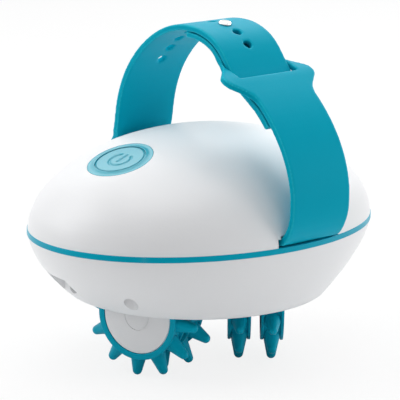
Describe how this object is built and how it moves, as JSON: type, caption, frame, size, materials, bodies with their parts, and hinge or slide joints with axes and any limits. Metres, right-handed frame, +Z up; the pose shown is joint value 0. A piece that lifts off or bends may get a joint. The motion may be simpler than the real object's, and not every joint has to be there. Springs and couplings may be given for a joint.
{
  "type": "cellulite massager",
  "caption": "Hand-held egg-shaped body massager with a power button, an adjustable hand strap and a motor turntable of spiked rollers below.",
  "frame": {"origin": "on the floor below the middle of the casing", "axes": "+X along the casing away from the power button, +Y to the far strap end, +Z up"},
  "size_m": [0.1605, 0.1299, 0.1416],
  "materials": {
    "shell_white": "satin white moulded plastic",
    "band_teal": "satin teal moulded plastic",
    "bezel_teal": "light teal satin plastic",
    "button_teal": "light teal satin plastic",
    "strap_teal": "matt silicone rubber",
    "stud_metal": "polished metal",
    "roller_teal": "satin teal plastic",
    "cap_white": "satin white plastic",
    "turntable_white": "matt white plastic",
    "inner_plastic": "matt grey plastic",
    "screw_steel": "zinc plated steel",
    "shaft_steel": "ground steel",
    "board_green": "green lacquered circuit board",
    "switch_black": "black plastic",
    "gear_nylon": "natural nylon",
    "motor_can": "nickel plated steel",
    "bush_brass": "sintered brass"
  },
  "bodies": {
    "casing": {"upper_shell": "shell_white", "lower_shell": "shell_white", "rim_band": "band_teal", "button_bezel": "bezel_teal", "buckle_strap": "strap_teal", "hole_strap": "strap_teal", "strap_stud": "stud_metal", "strap_anchor_near": "inner_plastic", "strap_anchor_far": "inner_plastic", "anchor_screws": "screw_steel", "circuit_board": "board_green", "tactile_switch": "switch_black", "board_screws": "screw_steel", "dc_socket": "switch_black", "shell_screws": "screw_steel", "idler_pin": "shaft_steel", "motor": "motor_can", "motor_screws": "screw_steel", "lower_bush": "bush_brass", "upper_bush": "bush_brass", "chassis": "inner_plastic", "chassis_screws": "screw_steel", "gearbox_cover": "inner_plastic", "gearbox_screws": "screw_steel"},
    "turntable": {"carousel_body": "turntable_white", "carousel_cover": "turntable_white", "cover_screws": "screw_steel", "hub_cover": "turntable_white", "hub_screw": "screw_steel", "spindle": "shaft_steel", "output_gear": "gear_nylon", "axle_clips": "screw_steel", "axle_1": "shaft_steel", "axle_2": "shaft_steel", "axle_3": "shaft_steel"},
    "button": {"power_button": "button_teal"},
    "idler": {"idler_gear": "gear_nylon"},
    "motor_rotor": {"pinion": "gear_nylon", "motor_shaft": "shaft_steel"},
    "roller_1_inner": {"wheel_1_inner": "roller_teal"},
    "roller_1_outer": {"wheel_1_outer": "roller_teal", "wheel_cap_1": "cap_white"},
    "roller_2_inner": {"wheel_2_inner": "roller_teal"},
    "roller_2_outer": {"wheel_2_outer": "roller_teal", "wheel_cap_2": "cap_white"},
    "roller_3_inner": {"wheel_3_inner": "roller_teal"},
    "roller_3_outer": {"wheel_3_outer": "roller_teal", "wheel_cap_3": "cap_white"}
  },
  "joints": [
    {"name": "turntable_spin", "type": "hinge", "parent": "casing", "child": "turntable", "pos_m": [-0.00775, 0, 0.0259], "axis": [0, 0, 1], "continuous": true},
    {"name": "idler_spin", "type": "hinge", "parent": "casing", "child": "idler", "pos_m": [0.01363, 0.01497, 0.0612], "axis": [0, 0, 1], "continuous": true},
    {"name": "motor_spin", "type": "hinge", "parent": "casing", "child": "motor_rotor", "pos_m": [0.02518, -0.00504, 0.0632], "axis": [0, 0, 1], "continuous": true},
    {"name": "button_press", "type": "slide", "parent": "casing", "child": "button", "axis": [0.3301, 0, -0.944], "range_m": [0, 0.0006], "stiffness_N_per_m": 1500},
    {"name": "roller_1_inner_spin", "type": "hinge", "parent": "turntable", "child": "roller_1_inner", "pos_m": [-0.0287, -0.00637, 0.0259], "axis": [-0.9568, -0.2907, 0], "continuous": true},
    {"name": "roller_1_outer_spin", "type": "hinge", "parent": "turntable", "child": "roller_1_outer", "pos_m": [-0.04176, -0.01033, 0.0259], "axis": [-0.9568, -0.2907, 0], "continuous": true},
    {"name": "roller_2_inner_spin", "type": "hinge", "parent": "turntable", "child": "roller_2_inner", "pos_m": [0.00824, -0.01496, 0.0259], "axis": [0.7302, -0.6833, 0], "continuous": true},
    {"name": "roller_2_outer_spin", "type": "hinge", "parent": "turntable", "child": "roller_2_outer", "pos_m": [0.01821, -0.02429, 0.0259], "axis": [0.7302, -0.6833, 0], "continuous": true},
    {"name": "roller_3_inner_spin", "type": "hinge", "parent": "turntable", "child": "roller_3_inner", "pos_m": [-0.00279, 0.02133, 0.0259], "axis": [0.2267, 0.974, 0], "continuous": true},
    {"name": "roller_3_outer_spin", "type": "hinge", "parent": "turntable", "child": "roller_3_outer", "pos_m": [0.00031, 0.03463, 0.0259], "axis": [0.2267, 0.974, 0], "continuous": true}
  ],
  "couplings": [
    {"joint": "idler_spin", "follows": "turntable_spin", "ratio": -3.3333},
    {"joint": "motor_spin", "follows": "turntable_spin", "ratio": 12}
  ]
}
